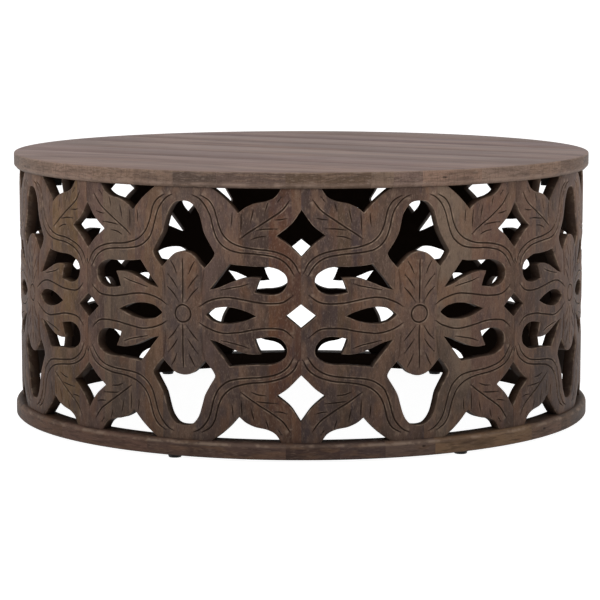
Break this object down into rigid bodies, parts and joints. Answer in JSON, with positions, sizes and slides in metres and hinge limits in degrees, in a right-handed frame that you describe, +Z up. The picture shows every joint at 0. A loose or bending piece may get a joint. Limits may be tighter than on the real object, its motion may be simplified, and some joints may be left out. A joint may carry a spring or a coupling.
{
  "type": "drum coffee table",
  "caption": "Round drum table: a flat plank top on a pierced drum wall carved with flowers and leaves, over a base ring on low pads.",
  "frame": {"origin": "on the floor at the centre of the circle of feet, under the middle of the top", "axes": "+Z up along the drum; the front, where two flowers meet in the middle of the view, faces -Y; +X to the right of the front"},
  "size_m": [0.916, 0.916, 0.4225],
  "materials": {
    "carved_wood": "dark grey-brown stain under thin matt wax, hand carved",
    "top_wood": "dark grey-brown stain under satin lacquer",
    "base_wood": "dark stain, matt, edges rubbed lighter",
    "block_wood": "sawn, stained dark",
    "dowel_wood": "plain turned",
    "glide_plastic": "moulded, matt black",
    "fastener_steel": "zinc plated"
  },
  "bodies": {
    "root": {"carved_panel_front": "carved_wood", "carved_panel_right": "carved_wood", "carved_panel_back": "carved_wood", "carved_panel_left": "carved_wood", "top_plank_1": "top_wood", "top_plank_2": "top_wood", "top_plank_3": "top_wood", "top_plank_4": "top_wood", "top_plank_5": "top_wood", "top_plank_6": "top_wood", "top_plank_7": "top_wood", "top_plank_8": "top_wood", "base_segment_1": "base_wood", "base_segment_2": "base_wood", "base_segment_3": "base_wood", "base_segment_4": "base_wood", "base_segment_5": "base_wood", "base_segment_6": "base_wood", "base_segment_7": "base_wood", "base_segment_8": "base_wood", "corner_block_1": "block_wood", "corner_block_2": "block_wood", "corner_block_3": "block_wood", "corner_block_4": "block_wood", "corner_block_5": "block_wood", "corner_block_6": "block_wood", "corner_block_7": "block_wood", "corner_block_8": "block_wood", "foot_pad_1": "glide_plastic", "foot_pad_2": "glide_plastic", "foot_pad_3": "glide_plastic", "foot_pad_4": "glide_plastic", "foot_pad_5": "glide_plastic", "foot_pad_6": "glide_plastic", "seam_dowels": "dowel_wood", "ring_dowels": "dowel_wood", "foot_nails": "fastener_steel", "top_screws": "fastener_steel", "wall_screws": "fastener_steel", "base_screws": "fastener_steel"}
  },
  "joints": []
}
